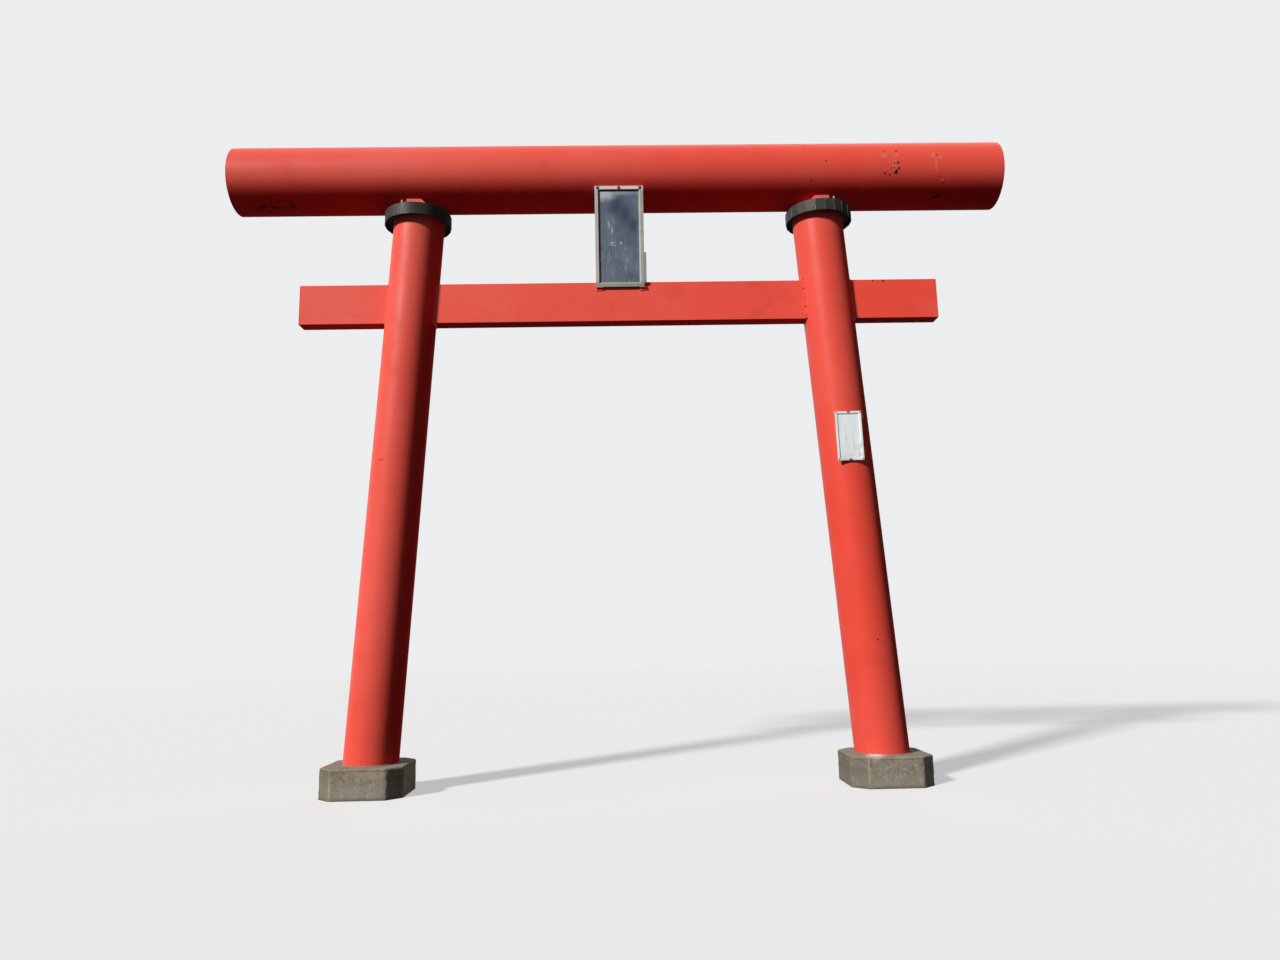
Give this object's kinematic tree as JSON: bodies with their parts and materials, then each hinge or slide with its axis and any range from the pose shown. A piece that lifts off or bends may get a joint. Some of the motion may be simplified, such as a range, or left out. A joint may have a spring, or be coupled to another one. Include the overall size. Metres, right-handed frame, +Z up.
{
  "type": "torii gate",
  "caption": "Round-pipe steel torii gate with leaning columns, box tie beam, straight round lintel, black collars, blank tablet and concrete footings.",
  "frame": {"origin": "on the ground midway between the two columns, at the centre of the footprint", "axes": "+X along the lintel to the right as seen from the tablet side, +Y to the back, +Z up"},
  "size_m": [9.4202, 0.92, 7.7158],
  "materials": {
    "vermilion_paint": "satin, sun-faded paint with small rust marks",
    "black_paint": "satin black paint, slightly weathered",
    "concrete": "weathered cast concrete",
    "tablet_frame_metal": "dull anodised",
    "tablet_panel": "glossy slate sheet with pale streaks, blank",
    "white_enamel": "white enamel, a little soiled, blank",
    "zinc_fixings": "dull galvanised",
    "dark_steel": "dark weathered steel"
  },
  "bodies": {
    "root": {"left_footing": "concrete", "left_column": "vermilion_paint", "left_collar_band": "black_paint", "left_collar_top_plate": "black_paint", "left_collar_soffit": "black_paint", "left_saddle": "vermilion_paint", "left_collar_bolts": "zinc_fixings", "left_tie_beam_cap": "vermilion_paint", "left_lintel_cap": "black_paint", "tablet_left_stile": "tablet_frame_metal", "tablet_left_shelf_bracket": "vermilion_paint", "tablet_left_hanger": "dark_steel", "right_footing": "concrete", "right_column": "vermilion_paint", "right_collar_band": "black_paint", "right_collar_top_plate": "black_paint", "right_collar_soffit": "black_paint", "right_saddle": "vermilion_paint", "right_collar_bolts": "zinc_fixings", "right_tie_beam_cap": "vermilion_paint", "right_lintel_cap": "black_paint", "tablet_right_stile": "tablet_frame_metal", "tablet_right_shelf_bracket": "vermilion_paint", "tablet_right_hanger": "dark_steel", "tie_beam": "vermilion_paint", "lintel_pipe": "vermilion_paint", "tablet_top_rail": "tablet_frame_metal", "tablet_bottom_rail": "tablet_frame_metal", "tablet_panel": "tablet_panel", "tablet_backboard": "tablet_frame_metal", "tablet_screws": "dark_steel", "tablet_side_strip": "white_enamel", "name_plate": "white_enamel", "name_plate_cleats": "dark_steel", "name_plate_screws": "dark_steel"}
  },
  "joints": []
}
